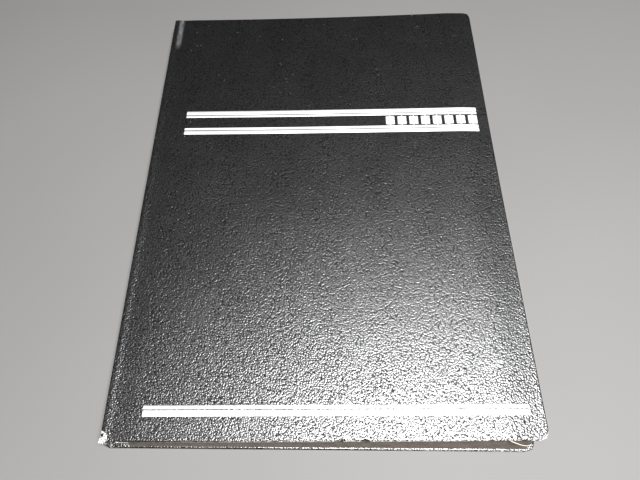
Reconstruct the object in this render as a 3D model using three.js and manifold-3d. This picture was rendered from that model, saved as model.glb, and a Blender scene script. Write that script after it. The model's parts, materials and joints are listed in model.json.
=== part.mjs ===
// Stamp album (stockbook): two leatherette-covered boards and a spine around eight card leaves with
// glassine pocket strips, and a glassine interleaf between each two leaves.
//
// Frame, in millimetres: the closed album lies on its back cover. +X runs from the spine to the fore-edge,
// +Y from the tail to the head, +Z up. The origin is the bottom centre of the closed album.

import * as THREE from 'three';
import { mergeVertices } from 'three/addons/utils/BufferGeometryUtils.js';
import Module from 'manifold-3d';

const wasm = await Module();
wasm.setup();

// ---- Covers ----
const COVER_WIDTH = 230; // outer edge of the spine to the fore-edge
const COVER_HEIGHT = 312; // tail to head
const SKIN = 0.6; // leatherette on the outside and round the edges
const BOARD = 2.2; // grey board
const TURN_IN = 0.4; // leatherette folded over to the inside, pressed thin
const TURN_IN_WIDTH = 15;
const PASTEDOWN = 0.2;
const GAP = 0.05; // between pieces that are glued to each other
const COVER_THICKNESS = SKIN + BOARD + TURN_IN + PASTEDOWN + 3 * GAP;
const CORNER_RADIUS = 4; // the two fore-edge corners
const JOINT_WIDTH = 7.4; // bending strip between the spine and the board
const GROOVE_START = 3.0;
const GROOVE_END = 6.8;
const GROOVE_DEPTH = 0.8;
const GROOVE_SLOPE = 0.8;
const PASTEDOWN_MARGIN = 4; // leatherette left showing round the pastedown

// ---- Leaves ----
const LEAVES = 8;
const SHEETS = 2 * LEAVES - 1; // leaves and interleaves, counted from the back cover
const SHEET_PITCH = 0.525; // from one sheet to the next at the spine
const COVER_TO_LEAF = 0.55; // pastedown to the middle of the nearest leaf
const HINGE_INSET = 3.4; // sheet hinges, in from the outer face of the spine
const GUARD_START = 1.5; // distances from a sheet's own hinge, in its plane
const CARD_START = 10;
const CARD_END = 223;
const CARD = 0.5;
const CARD_HEIGHT = 304;
const CARD_CORNER = 3;
const GUARD = 0.2;
const INTERLEAF = 0.12;
const INTERLEAF_END = 221;
const INTERLEAF_HEIGHT = 301;

// ---- Pocket strips ----
const STRIPS = 9;
const STRIP_FILM = 0.08;
const STRIP_MARGIN = 4; // side and end margins on the card
const STRIP_SLOT = 5; // bare card between two strips
const SEAM = 3; // side seam that joins the strips

// ---- Spine ----
const SPINE_CARD = 1.0;
const SPINE_LINING = 0.2;
const LINING_MARGIN = 8; // the lining stops short of the head and the tail

// ---- The closed album ----
const INNER_SPAN = 2 * COVER_TO_LEAF + (SHEETS - 1) * SHEET_PITCH;
const SPINE_HEIGHT = 2 * COVER_THICKNESS + INNER_SPAN;
const WEDGE = THREE.MathUtils.degToRad(1.67); // the album is thicker at its fore-edge
const BACK_DROP_AT_SPINE = 1.9; // the back cover has slipped towards the tail
const BACK_DROP_AT_FORE_EDGE = 3.9;
const BACK_SLOPE = (BACK_DROP_AT_FORE_EDGE - BACK_DROP_AT_SPINE) / COVER_WIDTH;
const LEAF_SLIP = 0.85; // share of the back cover's slip that the leaves follow
const LEAF_RECESS = 0.4; // leaves inside the front cover's tail edge
const SPINE_X = -COVER_WIDTH / 2;
const HEAD_Y = (COVER_HEIGHT + BACK_DROP_AT_FORE_EDGE) / 2;
const FRONT_TAIL_Y = HEAD_Y - COVER_HEIGHT;
const FRONT_MIDDLE_Y = HEAD_Y - COVER_HEIGHT / 2;

// ---- Foil stamping on the front cover: distances from the tail edge and from the spine ----
const FOIL = 0.05;
const FOIL_GAP = 0.03;
const FOIL_START_X = 20.3;
const FOIL_END_X = 222.6;
const THICK_LINE = 3.1;
const THIN_LINE = 1.8;
const UPPER_THICK_Y = 215.15;
const UPPER_THIN_Y = 212.75;
const LOWER_THIN_Y = 201.75;
const LOWER_THICK_Y = 198.05;
const TAIL_THIN_Y = 15.85;
const TAIL_THICK_Y = 12.2;
const STAMPS = 8;
const STAMPS_START_X = 159.6;
const STAMP_PITCH = 8.1;
const STAMP_WIDTH = 6.3;
const STAMP_CLEARANCE = 1.0; // from the thin lines
const STAMP_TIE = 0.4; // thin upright line that a stamp hangs on
const TEETH_ACROSS = 5;
const TEETH_UP = 6;
const TOOTH_DEPTH = 0.3;

// ---- Materials ----
const material = (color, roughness, metalness = 0) =>
  new THREE.MeshStandardMaterial({ color, roughness, metalness });
const leatherette = material(0x1c1b1a, 0.55);
const greyBoard = material(0x8d8578, 0.95);
const endpaper = material(0xe4dccb, 0.85);
const silverFoil = material(0xe6e7e8, 0.3, 0.9);
const leafCard = material(0x4f463d, 0.9);
const linen = material(0x5c5146, 0.95);
const stripFilm = material(0xdfe0d6, 0.35);
const glassine = material(0xe6e2d2, 0.5);
const cottonLining = material(0xd8d2c4, 0.95);

// ---- Geometry helpers ----

// Flat plate with its two corners on the +X side rounded; its lower face is at z.
function plate(x0, x1, y0, y1, z, thickness, radius = 0) {
  const shape = new THREE.Shape();
  shape.moveTo(x0, y0);
  shape.lineTo(x1 - radius, y0);
  if (radius > 0) shape.absarc(x1 - radius, y0 + radius, radius, -Math.PI / 2, 0);
  shape.lineTo(x1, y1 - radius);
  if (radius > 0) shape.absarc(x1 - radius, y1 - radius, radius, 0, Math.PI / 2);
  shape.lineTo(x0, y1);
  return extrude(shape, z, thickness);
}

function extrude(shape, z, thickness) {
  const geometry = new THREE.ExtrudeGeometry(shape, {
    depth: thickness,
    bevelEnabled: false,
    curveSegments: 6,
  });
  return geometry.translate(0, 0, z);
}

// Profile in the XZ plane, extruded along Y from y0 to y1.
function extrudeAlongY(points, y0, y1) {
  const shape = new THREE.Shape(points.map(([x, z]) => new THREE.Vector2(x, z)));
  const geometry = new THREE.ExtrudeGeometry(shape, { depth: y1 - y0, bevelEnabled: false });
  return geometry.rotateX(Math.PI / 2).translate(0, y1, 0);
}

function toManifold(geometry) {
  const bare = geometry.clone();
  bare.deleteAttribute('normal');
  bare.deleteAttribute('uv');
  const merged = mergeVertices(bare);
  return new wasm.Manifold(
    new wasm.Mesh({
      numProp: 3,
      vertProperties: new Float32Array(merged.attributes.position.array),
      triVerts: new Uint32Array(merged.index.array),
    }),
  );
}

function toGeometry(solid) {
  const mesh = solid.getMesh();
  const geometry = new THREE.BufferGeometry();
  geometry.setAttribute('position', new THREE.BufferAttribute(mesh.vertProperties, 3));
  geometry.setIndex(new THREE.BufferAttribute(mesh.triVerts, 1));
  return geometry;
}

function cut(geometry, ...tools) {
  return toGeometry(tools.reduce((solid, tool) => solid.subtract(toManifold(tool)), toManifold(geometry)));
}

function join(...geometries) {
  return toGeometry(geometries.map(toManifold).reduce((whole, piece) => whole.add(piece)));
}

// Moves each point along Y by drop(x, z), so that a layer sits slightly out of square.
function slip(geometry, drop) {
  const position = geometry.attributes.position;
  for (let i = 0; i < position.count; i += 1) {
    position.setY(i, position.getY(i) - drop(position.getX(i), position.getZ(i)));
  }
  return geometry;
}

function mesh(name, geometry, finish) {
  const piece = new THREE.Mesh(geometry, finish);
  piece.name = name;
  return piece;
}

// ---- Cover: built with its outer face at z = 0, its inside towards +Z and its hinge edge at x = 0 ----

const BOARD_BOTTOM = SKIN + GAP;
const TURN_IN_BOTTOM = BOARD_BOTTOM + BOARD + GAP;
const TURN_IN_TOP = TURN_IN_BOTTOM + TURN_IN;
const HALF_HEIGHT = COVER_HEIGHT / 2;

// Bending strip from the hinge edge to the board, with the pressed groove along it.
function jointStrip() {
  const outer = [
    [0, 0],
    [GROOVE_START, 0],
    [GROOVE_START + GROOVE_SLOPE, GROOVE_DEPTH],
    [GROOVE_END - GROOVE_SLOPE, GROOVE_DEPTH],
    [GROOVE_END, 0],
    [JOINT_WIDTH + 1, 0],
  ];
  const inner = outer.map(([x, z]) => [x, z + SKIN]).reverse();
  return extrudeAlongY([...outer, ...inner], -HALF_HEIGHT, HALF_HEIGHT);
}

function covering() {
  const tray = plate(JOINT_WIDTH, COVER_WIDTH, -HALF_HEIGHT, HALF_HEIGHT, 0, TURN_IN_TOP, CORNER_RADIUS);
  const boardSpace = plate(
    JOINT_WIDTH - 1,
    COVER_WIDTH - SKIN,
    -HALF_HEIGHT + SKIN,
    HALF_HEIGHT - SKIN,
    SKIN,
    TURN_IN_BOTTOM - SKIN,
    CORNER_RADIUS - SKIN,
  );
  const opening = plate(
    JOINT_WIDTH - 1,
    COVER_WIDTH - TURN_IN_WIDTH,
    -HALF_HEIGHT + TURN_IN_WIDTH,
    HALF_HEIGHT - TURN_IN_WIDTH,
    SKIN,
    COVER_THICKNESS,
  );
  return join(cut(tray, boardSpace, opening), jointStrip());
}

function board() {
  return plate(
    JOINT_WIDTH + GAP,
    COVER_WIDTH - SKIN - GAP,
    -HALF_HEIGHT + SKIN + GAP,
    HALF_HEIGHT - SKIN - GAP,
    BOARD_BOTTOM,
    BOARD,
    CORNER_RADIUS - SKIN - GAP,
  );
}

function pastedown() {
  return plate(
    JOINT_WIDTH + 1,
    COVER_WIDTH - PASTEDOWN_MARGIN,
    -HALF_HEIGHT + PASTEDOWN_MARGIN,
    HALF_HEIGHT - PASTEDOWN_MARGIN,
    TURN_IN_TOP + GAP,
    PASTEDOWN,
  );
}

// side is 'front' or 'back'; drop moves the cover out of square as a function of x.
function cover(side, drop) {
  const group = new THREE.Group();
  group.add(
    mesh(`${side}_covering`, slip(covering(), drop), leatherette),
    mesh(`${side}_board`, slip(board(), drop), greyBoard),
    mesh(`${side}_pastedown`, slip(pastedown(), drop), endpaper),
  );
  return group;
}

function backCover() {
  const group = cover('back', (x) => BACK_DROP_AT_SPINE + BACK_SLOPE * x);
  group.position.set(SPINE_X, FRONT_MIDDLE_Y, 0);
  return group;
}

function frontCover() {
  const turnedOver = cover('front', () => 0);
  turnedOver.rotation.x = Math.PI;
  const group = new THREE.Group();
  group.position.set(SPINE_X, FRONT_MIDDLE_Y, SPINE_HEIGHT);
  group.rotation.y = -WEDGE;
  group.add(turnedOver, ...foilStamping());
  return group;
}

// ---- Foil stamping: in the front cover's frame, where z = 0 is the outer face and y = 0 the middle ----

function foilLine(y, width) {
  const tail = y - HALF_HEIGHT;
  return plate(FOIL_START_X, FOIL_END_X, tail, tail + width, FOIL_GAP, FOIL);
}

// One toothed edge from a to b: the outline dips by TOOTH_DEPTH towards the inside between two teeth.
function toothedEdge(a, b, teeth) {
  const along = new THREE.Vector2().subVectors(b, a);
  const inwards = new THREE.Vector2(-along.y, along.x).normalize();
  const points = [];
  for (let i = 0; i < 2 * teeth; i += 1) {
    const depth = i % 2 ? TOOTH_DEPTH : 0;
    points.push(a.clone().addScaledVector(along, i / (2 * teeth)).addScaledVector(inwards, depth));
  }
  return points;
}

// Blank stamp clear of the two thin lines, with a thin upright line through it that joins all three.
function stamp(x, bottom, top) {
  const low = bottom + STAMP_CLEARANCE;
  const high = top - STAMP_CLEARANCE;
  const corners = [
    new THREE.Vector2(x, low),
    new THREE.Vector2(x + STAMP_WIDTH, low),
    new THREE.Vector2(x + STAMP_WIDTH, high),
    new THREE.Vector2(x, high),
  ];
  const outline = corners.flatMap((corner, i) =>
    toothedEdge(corner, corners[(i + 1) % 4], i % 2 ? TEETH_UP : TEETH_ACROSS),
  );
  const tieX = x + (STAMP_WIDTH - STAMP_TIE) / 2;
  const tie = plate(tieX, tieX + STAMP_TIE, bottom - GAP, top + GAP, FOIL_GAP, FOIL);
  return join(extrude(new THREE.Shape(outline), FOIL_GAP, FOIL), tie);
}

// The two thin lines with a row of blank stamps between them, stamped as one panel.
function stampPanel() {
  const bottom = LOWER_THIN_Y + THIN_LINE - HALF_HEIGHT;
  const top = UPPER_THIN_Y - HALF_HEIGHT;
  const stamps = Array.from({ length: STAMPS }, (_, i) =>
    stamp(STAMPS_START_X + i * STAMP_PITCH, bottom, top),
  );
  return join(foilLine(UPPER_THIN_Y, THIN_LINE), foilLine(LOWER_THIN_Y, THIN_LINE), ...stamps);
}

function foilStamping() {
  return [
    mesh('upper_thick_line', foilLine(UPPER_THICK_Y, THICK_LINE), silverFoil),
    mesh('stamp_panel', stampPanel(), silverFoil),
    mesh('lower_thick_line', foilLine(LOWER_THICK_Y, THICK_LINE), silverFoil),
    mesh('tail_thin_line', foilLine(TAIL_THIN_Y, THIN_LINE), silverFoil),
    mesh('tail_thick_line', foilLine(TAIL_THICK_Y, THICK_LINE), silverFoil),
  ];
}

// ---- Spine: its covering and card lean with the slip between the two covers ----

function spine() {
  const group = new THREE.Group();
  group.position.set(SPINE_X, FRONT_MIDDLE_Y, 0);
  const lean = (x, z) => BACK_DROP_AT_SPINE * (1 - z / SPINE_HEIGHT);
  const low = SKIN + GAP;
  const high = SPINE_HEIGHT - SKIN - GAP;
  const cardSpace = SPINE_CARD + 2 * GAP;
  const slab = (x0, x1, z0, z1, half) => plate(x0, x1, -half, half, z0, z1 - z0);
  const skin = cut(
    slab(0, SKIN + cardSpace + TURN_IN, low, high, HALF_HEIGHT),
    slab(SKIN, SKIN + cardSpace, low - 1, high + 1, HALF_HEIGHT - SKIN),
    slab(SKIN, COVER_THICKNESS, low - 1, high + 1, HALF_HEIGHT - TURN_IN_WIDTH),
  );
  const card = slab(SKIN + GAP, SKIN + GAP + SPINE_CARD, low, high, HALF_HEIGHT - SKIN - GAP);
  const liningX = SKIN + cardSpace + TURN_IN + GAP;
  const lining = slab(liningX, liningX + SPINE_LINING, low, high, HALF_HEIGHT - LINING_MARGIN);
  group.add(
    mesh('spine_covering', slip(skin, lean), leatherette),
    mesh('spine_card', slip(card, lean), greyBoard),
    mesh('spine_lining', slip(lining, lean), cottonLining),
  );
  return group;
}

// ---- Sheets: each turns about its own hinge at x = 0, z = 0 of its group ----

// level counts the sheets from the back cover: 1 is the last leaf, SHEETS the first.
function sheetGroup(level) {
  const share = level / (SHEETS + 1);
  const group = new THREE.Group();
  const slipped = LEAF_SLIP * BACK_DROP_AT_SPINE * (1 - share);
  const z = COVER_THICKNESS + COVER_TO_LEAF + (level - 1) * SHEET_PITCH;
  group.position.set(SPINE_X + HINGE_INSET, FRONT_TAIL_Y + LEAF_RECESS + CARD_HEIGHT / 2 - slipped, z);
  group.rotation.y = -WEDGE * share;
  return group;
}

// Share of the back cover's slope that the sheet at this level follows.
function sheetDrop(level) {
  const share = LEAF_SLIP * (1 - level / (SHEETS + 1));
  return (x) => BACK_SLOPE * share * x;
}

// Nine pocket strips across the leaf, joined by a seam at each side.
function pocketStrips(z) {
  const x0 = CARD_START + STRIP_MARGIN;
  const x1 = CARD_END - STRIP_MARGIN;
  const half = CARD_HEIGHT / 2 - STRIP_MARGIN;
  const pitch = (2 * half + STRIP_SLOT) / STRIPS;
  const shape = new THREE.Shape();
  shape.moveTo(x0, -half);
  shape.lineTo(x1, -half);
  shape.lineTo(x1, half);
  shape.lineTo(x0, half);
  for (let i = 1; i < STRIPS; i += 1) {
    const top = -half + i * pitch;
    const slot = new THREE.Path();
    slot.moveTo(x0 + SEAM, top - STRIP_SLOT);
    slot.lineTo(x0 + SEAM, top);
    slot.lineTo(x1 - SEAM, top);
    slot.lineTo(x1 - SEAM, top - STRIP_SLOT);
    shape.holes.push(slot);
  }
  return extrude(shape, z, STRIP_FILM);
}

// number counts the leaves from the front cover.
function leaf(number) {
  const level = SHEETS + 2 - 2 * number;
  const group = sheetGroup(level);
  const drop = sheetDrop(level);
  const half = CARD_HEIGHT / 2;
  const card = plate(CARD_START, CARD_END, -half, half, -CARD / 2, CARD, CARD_CORNER);
  const guard = plate(GUARD_START, CARD_START - GAP, -half + SEAM, half - SEAM, -GUARD / 2, GUARD);
  group.add(
    mesh(`leaf_${number}_card`, slip(card, drop), leafCard),
    mesh(`leaf_${number}_linen_guard`, slip(guard, drop), linen),
    mesh(`leaf_${number}_front_pockets`, slip(pocketStrips(CARD / 2 + GAP), drop), stripFilm),
    mesh(`leaf_${number}_back_pockets`, slip(pocketStrips(-CARD / 2 - GAP - STRIP_FILM), drop), stripFilm),
  );
  return group;
}

// Interleaf n lies between leaf n and leaf n + 1.
function interleaf(number) {
  const level = SHEETS + 1 - 2 * number;
  const group = sheetGroup(level);
  const half = INTERLEAF_HEIGHT / 2;
  const sheet = plate(GUARD_START, INTERLEAF_END, -half, half, -INTERLEAF / 2, INTERLEAF, CARD_CORNER);
  group.add(mesh(`interleaf_${number}`, slip(sheet, sheetDrop(level)), glassine));
  return group;
}

const album = new THREE.Group();
album.add(backCover(), spine(), frontCover());
for (let number = 1; number <= LEAVES; number += 1) album.add(leaf(number));
for (let number = 1; number < LEAVES; number += 1) album.add(interleaf(number));

export default album;
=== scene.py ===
"""Looks of a stamp album: black leatherette covers, foil lines, card leaves and glassine interleaves.

Every piece is in metres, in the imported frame: +X from spine to fore-edge and +Y from tail to head.
A place on a cover is (u, v, n): u from the hinge edge towards the fore-edge, v from the tail edge
towards the head, and n out of the outer face.
"""

import json
import math
import random

import bmesh
import bpy
import numpy as np
from mathutils import Matrix, Vector, noise


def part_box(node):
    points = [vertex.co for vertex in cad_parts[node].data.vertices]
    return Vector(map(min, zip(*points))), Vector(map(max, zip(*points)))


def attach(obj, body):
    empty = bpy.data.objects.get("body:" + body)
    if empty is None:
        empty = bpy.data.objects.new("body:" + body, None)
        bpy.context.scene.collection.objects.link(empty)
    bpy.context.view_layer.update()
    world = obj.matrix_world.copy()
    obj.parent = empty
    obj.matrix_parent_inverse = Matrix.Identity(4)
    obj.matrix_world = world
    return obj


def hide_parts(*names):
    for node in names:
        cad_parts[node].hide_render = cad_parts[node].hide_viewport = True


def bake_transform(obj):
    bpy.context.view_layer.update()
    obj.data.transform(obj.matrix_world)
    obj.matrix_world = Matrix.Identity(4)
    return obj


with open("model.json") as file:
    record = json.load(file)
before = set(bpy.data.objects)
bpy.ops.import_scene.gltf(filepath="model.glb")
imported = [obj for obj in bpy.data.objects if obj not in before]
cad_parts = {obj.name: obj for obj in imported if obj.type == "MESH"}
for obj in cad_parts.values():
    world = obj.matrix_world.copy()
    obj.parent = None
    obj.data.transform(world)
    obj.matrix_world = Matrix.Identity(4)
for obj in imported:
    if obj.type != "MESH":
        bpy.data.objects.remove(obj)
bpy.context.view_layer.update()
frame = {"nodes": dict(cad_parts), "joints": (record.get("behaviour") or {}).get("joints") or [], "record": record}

MM = 0.001
random.seed(7)

# ---- Sizes from the frame ----
JOINT_AT = {j["name"]: Vector(j["pos_m"]) for j in frame["joints"]}
SPINE_X = JOINT_AT["cover_opening"].x
SPINE_TOP = JOINT_AT["cover_opening"].z
BACK_LOW, BACK_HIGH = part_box("back_covering")
FRONT_LOW, FRONT_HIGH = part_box("front_covering")
SPINE_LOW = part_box("spine_covering")[0]
WIDTH = BACK_HIGH.x - SPINE_X
HEIGHT = FRONT_HIGH.y - FRONT_LOW.y
TAIL_Y = FRONT_LOW.y
WEDGE = math.asin((FRONT_HIGH.z - SPINE_TOP) / WIDTH)
DROP_AT_SPINE = TAIL_Y - SPINE_LOW.y
DROP_AT_FORE_EDGE = TAIL_Y - BACK_LOW.y

# ---- Leatherette ----
LEATHER = 0.42 * MM
RIM = 17 * MM  # width of the band inside the outline on which the rims are built
TURN_IN_END = 2 * MM  # where the turn-in ends, outwards from that band's inner edge
CORNER_RADIUS = 4 * MM
EDGE_RADIUS = 0.8 * MM
HINGE_RADIUS = 1.2 * MM
SHOULDER = 2.2 * MM  # ridge between the spine and the groove
SHOULDER_FALL = 0.25 * MM  # from that ridge to the spine's edge
GROOVE_BOTTOM = 5.6 * MM
GROOVE_DEPTH = 0.17 * MM
GROOVE_END = 17 * MM  # where the board has come up to its full height
BOARD_EDGE = 7.4 * MM  # the board starts here
COVER_DEPTH = 3.3 * MM  # outer face to the turn-ins, on the board
JOINT_DEPTH = 0.95 * MM  # the same on the joint strip
SPINE_DEPTH = 2.1 * MM  # the same on the spine
SPINE_BULGE = 0.45 * MM  # the spine's middle stands out by this much
CORNER_LIFT = 3.0 * MM  # the head corner of the front cover has warped upwards
WAVE = 0.12 * MM  # gentle unevenness of the boards
EDGE_FALL = 0.9 * MM  # the outer faces fall away towards the fore-edge
FLARE = 1.5 * MM  # the front board is a little wider at the tail than at the head
TAIL_BOW = 0.5 * MM  # the front cover's tail edge bows outwards
NICKS = (124 * MM, 137 * MM)  # two nicks in that edge
NICK_DEPTH = 0.9 * MM
NICK_HALF_WIDTH = 2.2 * MM

# ---- How finely the leatherette is divided ----
SPINE_STEPS = 7
HINGE_STEPS = 6
JOINT_STEPS = 18
JOINT_END = 9.5 * MM  # the finely divided joint strip ends here
BOARD_STEPS = 150
TAIL_TO_HEAD_STEPS = 70
CORNER_STEPS = 10
EDGE_STEPS = 5  # over the rounded edge
INNER_EDGE_STEPS = 4  # from the rounded edge to the turn-in
RIM_STATIONS = (0.2, 0.4, 0.53, 0.62, 0.7, 0.76, 0.81, 0.86, 0.91)  # shares of RIM, closer outwards
TURN_IN_STATIONS = (0.75, 0.5, 0.25, 0)  # shares of the turn-in, from the edge inwards

# ---- Camera and light ----
VIEW_TARGET = Vector((-1.1, -38.1, 18)) * MM
VIEW_AZIMUTH = math.radians(-1.64)
VIEW_ELEVATION = math.radians(62.64)
VIEW_ROLL = math.radians(1.75)
VIEW_DISTANCE = 319.9 * MM
LENS = 29.25
GLARE_U = 173 * MM  # where the front cover's plane mirrors the softbox
GLARE_V = -52 * MM
SOFTBOX_DISTANCE = 0.95
SOFTBOX_SIZE = 0.32
SOFTBOX_POWER = 56.0

# ---- Wear on the covers ----
TAIL_CORNER_WEAR = 7 * MM  # the front cover's tail corner is worn white outside a corner of this radius
CORNER_WEAR = 5 * MM  # the same for the other fore-edge corners
SPINE_EDGE_WEAR = 17 * MM  # length of the worn spine edge, from the tail
SCUFF_U = 5.8 * MM  # middle of the scuffed streak in the groove at the head
SCUFF_HALF_WIDTH = 2.8 * MM
SCUFF_LENGTH = 32 * MM

# ---- Damage at the tail edge of the front cover, (u, v, n) in millimetres ----
TORN_CORNER = (0.9, 0.4, -0.8)  # middle of the white torn tip at the spine
TORN_CORNER_REACH = 4.4
HOLE_SHADE = (1.1, 3.1, 0)  # painted shade: a dark spot in that tip stands in for a small hole, which is not cut
HOLE_SHADE_RADIUS = 0.65
TORN_EDGE = (9.5, -0.2, -2.4)  # middle of the second torn place
TORN_EDGE_REACH = 2.8
FLAKES = (  # place, heading and half spread in degrees, number and length
    ((0.8, 0.9, -0.1), 228, 62, 13, 2.6),
    ((9.0, 0.5, -0.9), 265, 80, 12, 1.3),
)
FLAKE_THICKNESS = 0.14
LOOSE_STRAND = ((211.5, 0.3, -3.2), (214, -0.8, -2.9), (219, -3.6, -3.6), (222, -1.2, -5))
STRAND_WIDTH = 0.6
STRAND_THICKNESS = 0.2
STRAND_STATIONS = 14


# ================================================================== covers as surfaces


def smooth(x):
    """Smooth step of x from 0 to 1."""
    x = min(max(x, 0.0), 1.0)
    return x * x * (3 - 2 * x)


class Cover:
    """The outer surface of one cover, its joint strip and half of the spine."""

    def __init__(self, side):
        self.side = side
        front = side == "front"
        self.hinge = Vector((SPINE_X, 0, SPINE_TOP if front else 0))
        tilt = WEDGE if front else 0
        self.along = Vector((math.cos(tilt), 0, math.sin(tilt)))
        self.out = Vector((-math.sin(tilt), 0, math.cos(tilt))) if front else Vector((0, 0, -1))
        self.down_spine = Vector((0, 0, -1)) if front else Vector((0, 0, 1))

    def drop(self, u, z):
        """How far a layer has slipped towards the tail."""
        if u < 0:
            return DROP_AT_SPINE * (1 - z / SPINE_TOP)
        if self.side == "front":
            return 0
        return DROP_AT_SPINE + (DROP_AT_FORE_EDGE - DROP_AT_SPINE) * u / WIDTH

    def relief(self, u, v):
        """Height of the outer face above its plane: groove, unevenness and the lifted corner."""
        on_board = smooth((u - BOARD_EDGE) / (12 * MM))
        place = Vector((u * 18, v * 18, 0 if self.side == "front" else 9))
        wave = WAVE * noise.noise(place) * on_board
        if self.side == "back":
            wave = -abs(wave)
        return wave + self.groove(u) + self.warp(u, v)

    def groove(self, u):
        """Height of the pressed joint: up to the shoulder, steeply down, then gently up to the board."""
        if u < SHOULDER:
            return -SHOULDER_FALL * (1 - u / SHOULDER) ** 1.5
        if u < GROOVE_BOTTOM:
            return -GROOVE_DEPTH * smooth((u - SHOULDER) / (GROOVE_BOTTOM - SHOULDER))
        return -GROOVE_DEPTH * (1 - smooth((u - GROOVE_BOTTOM) / (GROOVE_END - GROOVE_BOTTOM)))

    def warp(self, u, v):
        """How far the front cover has warped upwards, most at its head corner."""
        if self.side != "front":
            return 0
        towards_head = smooth((v / HEIGHT - 0.42) / 0.75)
        return CORNER_LIFT * 2 * max(0, u / WIDTH - 0.1) ** 2 * towards_head

    def point(self, u, v, n=0.0):
        """World place of (u, v, n) on the board side of the hinge."""
        fall = EDGE_FALL * self.near_edge(u) * min(max(1 + n / COVER_DEPTH, 0), 1)
        p = self.hinge + self.along * (u + self.flare(u, v)) + self.out * (n + self.relief(u, v) - fall)
        p.y = TAIL_Y + v - self.drop(u, p.z) - self.bow(u, v)
        return p

    def near_edge(self, u):
        """Rises from 0 to 1 over the last 20 mm before the fore-edge."""
        return smooth((u - WIDTH) / (20 * MM) + 1)

    def flare(self, u, v):
        """How far the fore-edge flares out towards the tail."""
        if self.side != "front":
            return 0
        return FLARE * self.near_edge(u) * (1 - v / HEIGHT)

    def bow(self, u, v):
        """How far the tail edge bows outwards."""
        if self.side != "front" or u < 0:
            return 0
        bow = TAIL_BOW * math.sin(math.pi * min(u / WIDTH, 1)) ** 0.5 * (1 - smooth(v / (20 * MM)))
        nicks = sum(1 - smooth(abs(u - place) / NICK_HALF_WIDTH) for place in NICKS)
        return bow - NICK_DEPTH * nicks * (1 - smooth(v / (6 * MM)))

    def path(self):
        """Stations (u, place) from the middle of the spine round the hinge and over the board."""
        half = SPINE_TOP / 2
        stations = []
        for k in range(SPINE_STEPS):
            t = half + (HINGE_RADIUS - half) * k / SPINE_STEPS
            bulge = SPINE_BULGE * (1 - (1 - t / half) ** 2 - (HINGE_RADIUS / half) ** 2)
            bulge = max(bulge, 0) * smooth((t - HINGE_RADIUS) / (3 * MM))
            stations.append((-t, self.hinge + self.down_spine * t - Vector((bulge, 0, 0))))
        for k in range(HINGE_STEPS + 1):
            f = k / HINGE_STEPS
            bend = self.down_spine * (1 - f) ** 2 + self.along * f * f
            sunk = self.out * self.groove(HINGE_RADIUS) * f * f
            u = f * HINGE_RADIUS if f > 0.5 else -1e-6  # just below 0 still belongs to the spine
            stations.append((u, self.hinge + bend * HINGE_RADIUS + sunk))
        strip = JOINT_END - HINGE_RADIUS
        board = WIDTH - RIM - JOINT_END
        us = [HINGE_RADIUS + strip * k / JOINT_STEPS for k in range(1, JOINT_STEPS + 1)]
        us += [JOINT_END + board * k / BOARD_STEPS for k in range(1, BOARD_STEPS + 1)]
        stations += [(u, self.hinge + self.along * u) for u in us]
        return stations

    def depth(self, u):
        """Thickness from the outer face to the turn-in."""
        on_spine = smooth((-u - 1.2 * HINGE_RADIUS) / (2 * MM))
        on_board = smooth((u - 0.9 * BOARD_EDGE) / (1.6 * MM))
        deeper = (SPINE_DEPTH - JOINT_DEPTH) * on_spine + (COVER_DEPTH - JOINT_DEPTH) * on_board
        return JOINT_DEPTH + deeper

    def flat_place(self, place):
        """(u, v, n) of a world place, measured on the cover before it is bent."""
        local = place - self.hinge
        u = local.dot(self.along)
        return u, place.y - TAIL_Y + self.drop(u, place.z), local.dot(self.out)


def rim_profile(depth):
    """(outwards, down) along a section through a cover's rim, from the flat band to the turn-in."""
    r = min(EDGE_RADIUS, 0.45 * depth)
    section = [(RIM * f, 0.0) for f in RIM_STATIONS]
    for k in range(EDGE_STEPS + 1):
        angle = math.pi / 2 * k / EDGE_STEPS
        section.append((RIM - r + r * math.sin(angle), r * (1 - math.cos(angle))))
    for k in range(INNER_EDGE_STEPS + 1):
        angle = math.pi / 2 * k / INNER_EDGE_STEPS
        section.append((RIM - r + r * math.cos(angle), depth - r + r * math.sin(angle)))
    section += [(TURN_IN_END + (RIM - r - TURN_IN_END) * f, depth) for f in TURN_IN_STATIONS]
    return section


def corner_reach(angle):
    """How far the rounded outline lies beyond the flat band's corner, in units of RIM."""
    c, s = abs(math.cos(angle)), abs(math.sin(angle))
    straight = 1 / max(c, s)
    inner = 1 - CORNER_RADIUS / RIM
    if straight * min(c, s) < inner:
        return straight
    b = inner * (c + s)
    return b + math.sqrt(b * b - 2 * inner * inner + (CORNER_RADIUS / RIM) ** 2)


def mesh_object(name, verts, faces, smooth_shading=True):
    """New object in the scene, made of these vertices and faces."""
    mesh = bpy.data.meshes.new(name)
    mesh.from_pydata([tuple(v) for v in verts], [], faces)
    mesh.validate()
    obj = bpy.data.objects.new(name, mesh)
    bpy.context.scene.collection.objects.link(obj)
    if smooth_shading:
        mesh.shade_smooth()
    return obj


def apply_modifiers(obj):
    """Turns the object's modifiers into plain mesh."""
    depsgraph = bpy.context.evaluated_depsgraph_get()
    mesh = bpy.data.meshes.new_from_object(obj.evaluated_get(depsgraph))
    obj.modifiers.clear()
    obj.data = mesh


def store(obj, name, values):
    """Keeps one number per vertex under the name that a material reads."""
    attribute = obj.data.attributes.new(name, "FLOAT", "POINT")
    attribute.data.foreach_set("value", np.array(values, np.float32))


class Shell:
    """Vertices and faces of one leatherette sheet, gathered row by row."""

    def __init__(self):
        self.verts = []
        self.faces = []

    def row(self, points):
        """Adds a row of points and returns their numbers."""
        start = len(self.verts)
        self.verts += points
        return list(range(start, start + len(points)))

    def bridge(self, a, b):
        """Joins two rows with faces. Where a point repeats, a triangle takes the quad's place."""
        for k in range(len(a) - 1):
            quad = [a[k], a[k + 1], b[k + 1], b[k]]
            distinct = [i for n, i in enumerate(quad) if i not in quad[:n]]
            if len(distinct) > 2:
                self.faces.append(distinct)


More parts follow.
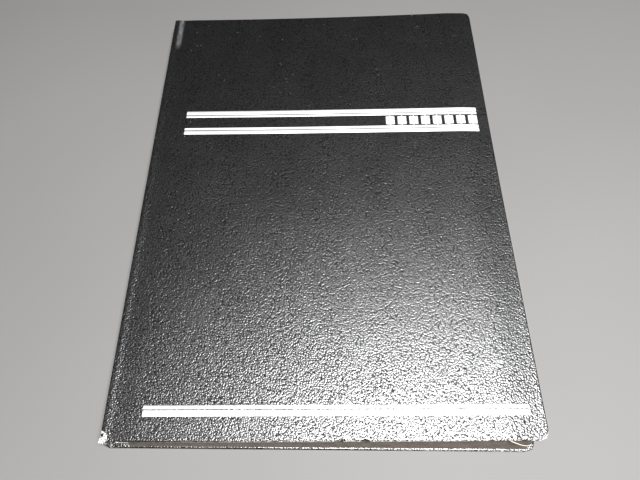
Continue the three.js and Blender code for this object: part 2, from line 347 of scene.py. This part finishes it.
def leather_sheet(cover):
    """The leatherette of one cover, with joint strip, half spine, rims and turn-ins, as one shell."""
    stations = cover.path()
    us = [u for u, _ in stations]
    count = len(us)
    rows = [RIM + (HEIGHT - 2 * RIM) * k / TAIL_TO_HEAD_STEPS for k in range(TAIL_TO_HEAD_STEPS + 1)]
    first_board = next(k for k, u in enumerate(us) if u > HINGE_RADIUS * 1.01)
    sections = [rim_profile(cover.depth(u)) for u in us]
    fan = [math.pi / 2 * k / CORNER_STEPS for k in range(1, CORNER_STEPS)]

    def place(k, v):
        u, base = stations[k]
        if k >= first_board:
            return cover.point(u, v)
        p = base.copy()
        p.y = TAIL_Y + v - cover.drop(u, p.z)
        return p

    def normal(k):
        if k >= first_board:
            return cover.out
        if k == 0:
            return Vector((-1, 0, 0))
        t = (stations[k + 1][1] - stations[k - 1][1]).normalized()
        n = Vector((-t.z, 0, t.x))
        return n if n.dot(Vector((-1, 0, 0)) + cover.out) > 0 else -n

    def side_rim(j, band, outwards):
        """Station j of the rim's section, from the middle of the spine round the fore-edge corner."""
        points = []
        for k in range(count):
            reach, down = sections[k][j]
            points.append(place(k, band + outwards * reach) - normal(k) * down)
        width, down = sections[-1][j]
        for angle in fan:
            reach = width * corner_reach(angle)
            v = band + outwards * reach * math.cos(angle)
            points.append(cover.point(us[-1] + reach * math.sin(angle), v, -down))
        return points

    shell = Shell()
    core = [shell.row([place(k, v) for v in rows]) for k in range(count)]
    for one, two in zip(core, core[1:]):
        shell.bridge(one, two)

    ring_before = [c[0] for c in core] + [core[-1][0]] * len(fan) + core[-1]
    ring_before += [core[-1][-1]] * len(fan) + [c[-1] for c in reversed(core)]
    for j, (width, down) in enumerate(sections[-1]):
        fore_edge = [cover.point(us[-1] + width, v, -down) for v in rows]
        head = side_rim(j, HEIGHT - RIM, 1)
        ring = shell.row(side_rim(j, RIM, -1) + fore_edge + head[::-1])
        shell.bridge(ring_before, ring)
        ring_before = ring

    obj = mesh_object(f"{cover.side}_leatherette", shell.verts, shell.faces)
    make_outward(obj, cover)
    solid = obj.modifiers.new("thickness", "SOLIDIFY")
    solid.thickness = LEATHER
    solid.offset = -1
    apply_modifiers(obj)
    return obj


def make_outward(obj, cover):
    """Turns the faces so that the outer face's normals point out of the cover."""
    level = [p for p in obj.data.polygons if abs(p.normal.z) > 0.9]
    outer = max(level, key=lambda p: p.center.dot(cover.out) - 0.01 * abs(p.center.x))
    if outer.normal.dot(cover.out) < 0:
        obj.data.flip_normals()


# ================================================================== CAD shapes that follow the covers


def copy_of(node, name):
    """New object with a copy of a CAD node's mesh."""
    obj = bpy.data.objects.new(name, frame["nodes"][node].data.copy())
    bpy.context.scene.collection.objects.link(obj)
    return obj


def slice_mesh(obj, axis, origin, step, count):
    """Cuts the mesh by count parallel planes, step apart, so that it can bend."""
    bm = bmesh.new()
    bm.from_mesh(obj.data)
    bmesh.ops.remove_doubles(bm, verts=bm.verts, dist=1e-6)
    for k in range(1, count):
        geometry = bm.verts[:] + bm.edges[:] + bm.faces[:]
        place = origin + axis * (step * k)
        bmesh.ops.bisect_plane(bm, geom=geometry, plane_co=place, plane_no=axis, dist=1e-7)
    bm.to_mesh(obj.data)
    bm.free()


def follow_cover(cover, node, name, step_u=6 * MM, step_v=9 * MM):
    """Copy of a flat CAD node, bent to follow its cover's relief."""
    obj = copy_of(node, name)
    origin = Vector((SPINE_X, TAIL_Y - DROP_AT_FORE_EDGE, cover.hinge.z))
    slice_mesh(obj, cover.along, origin, step_u, int(WIDTH / step_u) + 1)
    slice_mesh(obj, Vector((0, 1, 0)), origin, step_v, int(HEIGHT / step_v) + 2)
    for vertex in obj.data.vertices:
        vertex.co = cover.point(*cover.flat_place(vertex.co))
    obj.data.shade_smooth()
    bpy.context.view_layer.update()
    return obj


# ================================================================== materials


class Material:
    """A node material with short calls for the nodes used here. Coordinates are in millimetres."""

    def __init__(self, name, color, roughness, metallic=0.0, specular=0.5):
        self.material = bpy.data.materials.new(name)
        self.material.use_nodes = True
        self.nodes = self.material.node_tree.nodes
        self.links = self.material.node_tree.links
        self.shader = self.nodes["Principled BSDF"]
        self.shader.inputs["Base Color"].default_value = (*color, 1)
        self.shader.inputs["Roughness"].default_value = roughness
        self.shader.inputs["Metallic"].default_value = metallic
        self.shader.inputs["Specular IOR Level"].default_value = specular
        place = self.nodes.new("ShaderNodeTexCoord")
        self.mm = self.scaled(place.outputs["Object"], (1000, 1000, 1000))

    def link(self, output, socket):
        self.links.new(output, socket)

    def put(self, socket, value):
        if isinstance(value, bpy.types.NodeSocket):
            self.links.new(value, socket)
        else:
            socket.default_value = value

    def scaled(self, vector, scale):
        node = self.nodes.new("ShaderNodeMapping")
        node.inputs["Scale"].default_value = scale
        self.link(vector, node.inputs["Vector"])
        return node.outputs["Vector"]

    def noise(self, scale, detail=3.0, roughness=0.5, distortion=0.0, vector=None, kind="FBM"):
        node = self.nodes.new("ShaderNodeTexNoise")
        node.noise_type = kind
        node.inputs["Scale"].default_value = scale
        node.inputs["Detail"].default_value = detail
        node.inputs["Roughness"].default_value = roughness
        node.inputs["Distortion"].default_value = distortion
        self.link(vector or self.mm, node.inputs["Vector"])
        return node

    def cells(self, scale, vector=None, feature="F1"):
        node = self.nodes.new("ShaderNodeTexVoronoi")
        node.feature = feature
        node.inputs["Scale"].default_value = scale
        self.link(vector or self.mm, node.inputs["Vector"])
        return node.outputs["Distance"]

    def math(self, operation, a, b):
        node = self.nodes.new("ShaderNodeMath")
        node.operation = operation
        self.put(node.inputs[0], a)
        self.put(node.inputs[1], b)
        return node.outputs[0]

    def range(self, value, low, high, to_low=0.0, to_high=1.0):
        node = self.nodes.new("ShaderNodeMapRange")
        node.interpolation_type = "SMOOTHSTEP"
        self.put(node.inputs["Value"], value)
        node.inputs["From Min"].default_value = low
        node.inputs["From Max"].default_value = high
        node.inputs["To Min"].default_value = to_low
        node.inputs["To Max"].default_value = to_high
        return node.outputs["Result"]

    def mix(self, factor, a, b):
        node = self.nodes.new("ShaderNodeMix")
        node.data_type = "RGBA"
        self.put(node.inputs["Factor"], factor)
        for socket, value in ((node.inputs[6], a), (node.inputs[7], b)):
            self.put(socket, value if isinstance(value, bpy.types.NodeSocket) else (*value, 1))
        return node.outputs[2]

    def offset(self, amount, scale):
        """The coordinates pushed about by noise, so that a pattern loses its straight edges."""
        shift = self.noise(scale, detail=2)
        centred = self.nodes.new("ShaderNodeVectorMath")
        centred.operation = "SUBTRACT"
        self.link(shift.outputs["Color"], centred.inputs[0])
        centred.inputs[1].default_value = (0.5, 0.5, 0.5)
        scaled = self.nodes.new("ShaderNodeVectorMath")
        scaled.operation = "SCALE"
        scaled.inputs["Scale"].default_value = amount
        self.link(centred.outputs[0], scaled.inputs[0])
        moved = self.nodes.new("ShaderNodeVectorMath")
        moved.operation = "ADD"
        self.link(self.mm, moved.inputs[0])
        self.link(scaled.outputs[0], moved.inputs[1])
        return moved.outputs[0]

    def attribute(self, name):
        node = self.nodes.new("ShaderNodeAttribute")
        node.attribute_name = name
        return node.outputs["Fac"]

    def bump(self, height, distance, strength=1.0):
        node = self.nodes.new("ShaderNodeBump")
        node.inputs["Distance"].default_value = distance
        node.inputs["Strength"].default_value = strength
        self.link(height, node.inputs["Height"])
        return node.outputs["Normal"]

    def set(self, **sockets):
        names = {"color": "Base Color", "specular": "Specular IOR Level"}
        for key, value in sockets.items():
            self.link(value, self.shader.inputs[names.get(key, key.capitalize())])
        return self.material


def grain(m):
    """Grain of the leatherette: rounded pebbles of about 1 mm, finer ones among them and soft wrinkles.

    Returns the pebbles alone and the whole height.
    """
    place = m.offset(0.9, 0.5)
    near = m.cells(1.05, place)
    small = m.cells(2.2, place)
    domes = m.math("SUBTRACT", 1.0, m.math("MULTIPLY", m.math("MULTIPLY", near, near), 3.0))
    beads = m.math("MULTIPLY", m.math("MULTIPLY", small, small), -0.4)
    wrinkles = m.noise(0.36, detail=1, distortion=0.8).outputs["Fac"]
    pebbles = m.math("ADD", domes, beads)
    return pebbles, m.math("ADD", pebbles, m.math("MULTIPLY", wrinkles, 1.6))


def leatherette():
    """Black grained leatherette, a little dusty, with painted shade in the pits of its grain, worn through to its
    white backing where the maps say, which also hold a painted highlight along the tail edge and the painted shade
    of a hole.
    """
    m = Material("leatherette", (0.008, 0.008, 0.008), 0.35, specular=0.85)
    pebbles, height = grain(m)
    dust = m.range(m.cells(0.3), 0.11, 0.04)
    dusty = m.math("MULTIPLY", dust, m.range(m.noise(0.06).outputs["Fac"], 0.5, 0.6))
    # painted shade: the base colour is darker in the pits between the pebbles
    base = m.mix(m.range(pebbles, -0.8, 0.5), (0.0006, 0.0006, 0.0006), (0.0014, 0.0014, 0.0013))
    base = m.mix(m.math("MULTIPLY", dusty, 0.2), base, (0.5, 0.48, 0.45))
    # the wear map also holds a painted highlight along the tail edge and the painted shade of the hole in the torn
    # tip
    torn = m.math("ADD", m.attribute("wear_and_painted_light"), m.noise(0.8, detail=5, roughness=0.75).outputs["Fac"])
    worn = m.range(torn, 0.96, 1.04)
    streaks = m.noise(0.7, roughness=0.6, vector=m.scaled(m.mm, (1, 0.12, 1))).outputs["Fac"]
    scuffed = m.math("MULTIPLY", m.attribute("scuff"), m.range(streaks, 0.3, 0.55, 0.3, 1.0))
    base = m.mix(scuffed, base, (0.05, 0.049, 0.052))
    fibres = m.noise(1.1, roughness=0.7).outputs["Fac"]
    backing = m.mix(m.range(fibres, 0.4, 0.6), (0.05, 0.048, 0.045), (0.4, 0.385, 0.37))
    base = m.mix(worn, base, backing)
    broad = m.range(m.noise(0.035, roughness=0.6).outputs["Fac"], 0.35, 0.65, 0.33, 0.35)
    rough = m.math("ADD", broad, m.math("MULTIPLY", worn, 0.45))
    rough = m.math("ADD", rough, m.math("MULTIPLY", scuffed, 0.3))
    # painted shade: the specular is weakened in the pits between the pebbles, standing in for the shade that falls
    # into them
    pit_shade_specular = m.range(pebbles, -0.9, 0.5, 0.42, 0.98)
    return m.set(color=base, roughness=rough, specular=pit_shade_specular, normal=m.bump(height, 0.061 * MM))


def silver_foil():
    """Dull silver foil with a net-like relief and small rubbed pits."""
    m = Material("silver_foil", (0.42, 0.425, 0.43), 0.4, metallic=0.2)
    mesh_lines = m.cells(0.6, feature="DISTANCE_TO_EDGE")
    rubbed = m.range(m.noise(1.6, detail=4, roughness=0.7).outputs["Fac"], 0.62, 0.7)
    pits = m.math("MULTIPLY", rubbed, m.range(mesh_lines, 0.25, 0.1))
    base = m.mix(pits, (0.42, 0.425, 0.43), (0.12, 0.12, 0.12))
    rough = m.range(m.noise(0.2, detail=2).outputs["Fac"], 0.3, 0.7, 0.36, 0.5)
    return m.set(color=base, roughness=rough, normal=m.bump(mesh_lines, 0.1 * MM, 0.35))


def fibrous(name, light, dark, roughness, scale=0.5, relief=0.05):
    """Paper, card or board: cloudy colour with short fibres."""
    m = Material(name, light, roughness, specular=0.3)
    cloud = m.noise(scale * 0.2, detail=4, roughness=0.6).outputs["Fac"]
    fibre = m.noise(scale * 8, detail=2, vector=m.scaled(m.mm, (1, 0.25, 1))).outputs["Fac"]
    base = m.mix(m.range(cloud, 0.35, 0.7), light, dark)
    base = m.mix(m.range(fibre, 0.55, 0.75, 0, 0.35), base, [c * 0.75 for c in dark])
    rough = m.range(fibre, 0.3, 0.7, roughness - 0.06, min(1, roughness + 0.06))
    return m.set(color=base, roughness=rough, normal=m.bump(fibre, relief * MM, 0.5))


def woven(name, light, dark, threads=2.2):
    """Thin cloth with a plain weave."""
    m = Material(name, light, 0.9, specular=0.2)
    waves = []
    for axis in ("X", "Y"):
        node = m.nodes.new("ShaderNodeTexWave")
        node.bands_direction = axis
        node.inputs["Scale"].default_value = threads * 0.32
        node.inputs["Distortion"].default_value = 0.8
        m.link(m.mm, node.inputs["Vector"])
        waves.append(node.outputs["Fac"])
    weave = m.math("MULTIPLY", *waves)
    base = m.mix(weave, dark, light)
    rough = m.range(weave, 0, 1, 0.95, 0.82)
    return m.set(color=base, roughness=rough, normal=m.bump(weave, 0.06 * MM, 0.7))


def film(name, color, alpha, roughness):
    """Translucent film or glassine with faint creases."""
    m = Material(name, color, roughness, specular=0.5)
    m.shader.inputs["Alpha"].default_value = alpha
    crease = m.noise(0.05, detail=4, roughness=0.65, kind="RIDGED_MULTIFRACTAL").outputs["Fac"]
    cloud = m.noise(0.4).outputs["Fac"]
    base = m.mix(m.range(cloud, 0.3, 0.7), color, [c * 0.93 for c in color])
    rough = m.range(cloud, 0.3, 0.7, roughness - 0.05, roughness + 0.1)
    return m.set(color=base, roughness=rough, normal=m.bump(crease, 0.12 * MM, 0.4))


MATERIALS = {
    "leatherette": leatherette(),
    "silver_foil": silver_foil(),
    "grey_board": fibrous("grey_board", (0.3, 0.27, 0.23), (0.22, 0.2, 0.17), roughness=0.92),
    "endpaper": fibrous(
        "endpaper",
        (0.8, 0.76, 0.68),
        (0.72, 0.67, 0.58),
        roughness=0.6,
        scale=0.8,
        relief=0.03,
    ),
    "leaf_card": fibrous(
        "leaf_card",
        (0.031, 0.0245, 0.0192),
        (0.019, 0.0148, 0.0113),
        roughness=0.85,
        scale=0.9,
        relief=0.04,
    ),
    "linen_guard": woven("linen_guard", (0.06, 0.05, 0.04), (0.028, 0.023, 0.018)),
    "lining_cloth": woven("lining_cloth", (0.66, 0.62, 0.54), (0.4, 0.37, 0.31), threads=1.2),
    "strip_film": film("strip_film", (0.3, 0.3, 0.28), alpha=0.3, roughness=0.3),
    "glassine": film("glassine", (0.3, 0.27, 0.225), alpha=0.75, roughness=0.45),
}


def finish(obj, slot):
    """Gives the piece its slot's material."""
    obj.data.materials.clear()
    obj.data.materials.append(MATERIALS[slot])
    return obj


# ================================================================== pieces


def inside_outline(u, v, radius):
    """Distance inside a cover's outline, with both fore-edge corners rounded by radius."""
    across, up = WIDTH - u, min(v, HEIGHT - v)
    if across < radius and up < radius:
        return radius - math.hypot(radius - across, radius - up)
    return min(across, up)


def rubbed_wear_and_edge_highlight(cover, u, v):
    """How far the outline is rubbed pale, with white fore-edge corners; near the tail the pale edge grows towards
    the fore-edge as a painted highlight.
    """
    at_tail = 1 - smooth(v / (20 * MM))
    # painted highlight: near the tail the pale edge grows stronger towards the fore-edge, standing in for the
    # light that edge catches; the rest is rubbing
    strength = 0.14 + 0.36 * at_tail * smooth((u - 120 * MM) / (50 * MM))
    edge = strength * (1 - smooth(inside_outline(u, v, CORNER_RADIUS) / (1.1 * MM)))
    radius = TAIL_CORNER_WEAR if cover.side == "front" and v < HEIGHT / 2 else CORNER_WEAR
    return max(edge, 1 - smooth(inside_outline(u, v, radius) / (1.2 * MM) + 0.75))


def torn_wear(place, u, v, corner, edge):
    """How far the white backing shows at the two torn places and along the spine's edge."""
    from_corner = place - corner
    from_corner.y *= 0.66
    tip = smooth(1.7 - 1.7 * from_corner.length / (TORN_CORNER_REACH * MM))
    second = 0.75 * smooth(1.5 - 1.5 * (place - edge).length / (TORN_EDGE_REACH * MM))
    at_spine = (1 - smooth(abs(u - 0.2 * MM) / (1.3 * MM))) * (1 - smooth(v / SPINE_EDGE_WEAR))
    return max(tip, second, 0.66 * at_spine)


def wear_map(obj, cover):
    """Stores how worn the leatherette is, with a painted highlight along the tail edge and the painted shade of a
    hole, and a scuffed streak in the front cover's groove.
    """
    front = cover.side == "front"
    torn_spots = [cover.point(*(MM * c for c in spot)) for spot in (TORN_CORNER, TORN_EDGE)]
    hole_shade = cover.point(*(MM * c for c in HOLE_SHADE))
    wear_and_painted_light = []
    scuffs = []
    for vertex in obj.data.vertices:
        u, v, _ = cover.flat_place(vertex.co)
        u -= cover.flare(u, v)
        value = rubbed_wear_and_edge_highlight(cover, u, v)
        if front:
            value = max(value, torn_wear(vertex.co, u, v, *torn_spots))
            # painted shade: the map is lowered at the hole, so the black leatherette shows there as the hole's
            # shade
            value -= smooth(1.7 - (vertex.co - hole_shade).length / (HOLE_SHADE_RADIUS * MM))
        wear_and_painted_light.append(value)
        in_groove = 1 - smooth(abs(u - SCUFF_U) / SCUFF_HALF_WIDTH)
        near_head = smooth((v - HEIGHT + SCUFF_LENGTH) / (8 * MM))
        scuffs.append(in_groove * near_head if front else 0)
    store(obj, "wear_and_painted_light", wear_and_painted_light)
    store(obj, "scuff", scuffs)


def make_covers():
    """Each cover's leatherette, which bends at the spine, and the board and pastedown inside it."""
    for side in ("front", "back"):
        cover = Cover(side)
        body = f"{side}_cover"
        leather = leather_sheet(cover)
        wear_map(leather, cover)
        finish(leather, "leatherette")
        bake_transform(leather)
        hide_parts(f"{side}_covering")
        if side == "front":
            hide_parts("spine_covering")
        for part, slot in (("board", "grey_board"), ("pastedown", "endpaper")):
            node = f"{side}_{part}"
            piece = finish(follow_cover(cover, node, f"{node}_bent"), slot)
            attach(piece, body)
            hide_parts(node)


def make_foil():
    """The silver lines and the panel of blank stamps on the front cover."""
    cover = Cover("front")
    lines = ("upper_thick_line", "stamp_panel", "lower_thick_line", "tail_thin_line", "tail_thick_line")
    for node in lines:
        piece = finish(follow_cover(cover, node, f"{node}_foil", 3 * MM), "silver_foil")
        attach(piece, "front_cover")
        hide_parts(node)


def make_flakes():
    """Ragged flakes of the covering's white backing at the two torn places of the tail edge."""
    cover = Cover("front")
    verts, faces = [], []
    prism = ((2, 1, 0), (3, 4, 5), (0, 1, 4, 3), (1, 2, 5, 4), (2, 0, 3, 5))
    for (u, v, n), heading, spread, count, reach in FLAKES:
        for k in range(count):
            angle = math.radians(heading + spread * (2 * k / (count - 1) - 1) + random.uniform(-9, 9))
            ahead = Vector((math.cos(angle), math.sin(angle)))
            aside = Vector((-ahead.y, ahead.x)) * reach * random.uniform(0.12, 0.22)
            root = Vector((u, v)) - ahead * 0.35 * reach
            tip = root + ahead * reach * random.uniform(0.75, 1.3)
            lift = random.uniform(-1.2, 0.35)
            start = len(verts)
            for down in (0, FLAKE_THICKNESS):
                for place, rise in ((root - aside, 0), (root + aside, 0), (tip, lift)):
                    verts.append(cover.point(place.x * MM, place.y * MM, (n + rise - down) * MM))
            faces += [[start + i for i in face] for face in prism]
    flakes = finish(mesh_object("torn_flakes", verts, faces, False), "endpaper")
    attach(flakes, "front_cover")


def make_loose_strand():
    """A thin strip of the turn-in has come loose at the tail edge, near the fore-edge corner."""
    cover = Cover("front")
    a, b, c, d = (Vector(place) for place in LOOSE_STRAND)
    verts, faces = [], []
    for k in range(STRAND_STATIONS):
        t = k / (STRAND_STATIONS - 1)
        middle = a * (1 - t) ** 3 + b * 3 * t * (1 - t) ** 2 + c * 3 * t * t * (1 - t) + d * t**3
        half = STRAND_WIDTH / 2 * (1 - 0.5 * t)
        low = STRAND_THICKNESS
        tilt = STRAND_THICKNESS / 2
        for side, down in ((-half, 0), (half, tilt), (half, tilt + low), (-half, low)):
            verts.append(cover.point(middle.x * MM, (middle.y + side) * MM, (middle.z - down) * MM))
        if k:
            base = 4 * (k - 1)
            for i in range(4):
                after = (i + 1) % 4
                faces.append([base + i, base + after, base + 4 + after, base + 4 + i])
    faces += [[3, 2, 1, 0], [4 * STRAND_STATIONS - 4 + i for i in range(4)]]
    strand = finish(mesh_object("loose_strand", verts, faces), "glassine")
    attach(strand, "front_cover")


def paint_frame_nodes():
    """CAD nodes that stay get their own slot's material."""
    for row in frame["record"]["subparts"]:
        node = frame["nodes"][row["node"]]
        node.data.materials.clear()
        node.data.materials.append(MATERIALS[row["material_slot"]])


# ================================================================== stage


def make_floor():
    """A plain pale floor just under the album."""
    size = 12.0
    z = -0.02 * MM
    corners = [(-size, -size, z), (size, -size, z), (size, size, z), (-size, size, z)]
    floor = mesh_object("floor", corners, [(0, 1, 2, 3)])
    m = Material("floor", (0.09, 0.088, 0.0865), 0.7, specular=0.15)
    cloud = m.noise(0.004, detail=2).outputs["Fac"]
    floor.data.materials.append(m.set(color=m.mix(cloud, (0.08, 0.0785, 0.077), (0.097, 0.095, 0.093))))


def view_axes():
    """Camera place and its forward, right and up directions."""
    away = Vector(
        (
            math.sin(VIEW_AZIMUTH) * math.cos(VIEW_ELEVATION),
            -math.cos(VIEW_AZIMUTH) * math.cos(VIEW_ELEVATION),
            math.sin(VIEW_ELEVATION),
        )
    )
    forward = -away
    right = forward.cross(Vector((0, 0, 1))).normalized()
    up = right.cross(forward)
    c, s = math.cos(VIEW_ROLL), math.sin(VIEW_ROLL)
    return VIEW_TARGET + away * VIEW_DISTANCE, forward, right * c + up * s, up * c - right * s


def make_camera():
    """Camera at the photograph's viewing angle, without shift or depth of field."""
    place, forward, right, up = view_axes()
    data = bpy.data.cameras.new("camera")
    data.lens = LENS
    data.clip_start = 0.01
    camera = bpy.data.objects.new("camera", data)
    turn = Matrix((right, up, -forward)).transposed()
    camera.matrix_world = Matrix.Translation(place) @ turn.to_4x4()
    bpy.context.scene.collection.objects.link(camera)
    bpy.context.scene.camera = camera


def area_light(name, place, target, size, power):
    """A round lamp that faces its target."""
    data = bpy.data.lights.new(name, "AREA")
    data.shape = "DISK"
    data.size = size
    data.energy = power
    light = bpy.data.objects.new(name, data)
    light.location = place
    light.rotation_euler = (Vector(target) - Vector(place)).to_track_quat("-Z", "Y").to_euler()
    bpy.context.scene.collection.objects.link(light)


def make_lights():
    """A large softbox, mirrored by the cover beyond its tail edge, and weak light all round."""
    place = view_axes()[0]
    glare = Cover("front").point(GLARE_U, GLARE_V)
    seen = (glare - place).normalized()
    out = Cover("front").out
    mirrored = seen - out * (2 * seen.dot(out))
    area_light("softbox", glare + mirrored * SOFTBOX_DISTANCE, glare, SOFTBOX_SIZE, SOFTBOX_POWER)
    area_light("left_fill", (-0.9, -0.3, 0.7), target=(0, 0, 0), size=0.9, power=0.8)
    world = bpy.data.worlds.new("studio")
    world.use_nodes = True
    background = world.node_tree.nodes["Background"]
    background.inputs["Color"].default_value = (0.9, 0.93, 1.0, 1)
    background.inputs["Strength"].default_value = 0.07
    bpy.context.scene.world = world


make_camera()
make_lights()
make_floor()
paint_frame_nodes()
make_covers()
make_foil()
make_flakes()
make_loose_strand()

bpy.context.scene.view_settings.view_transform = "Standard"
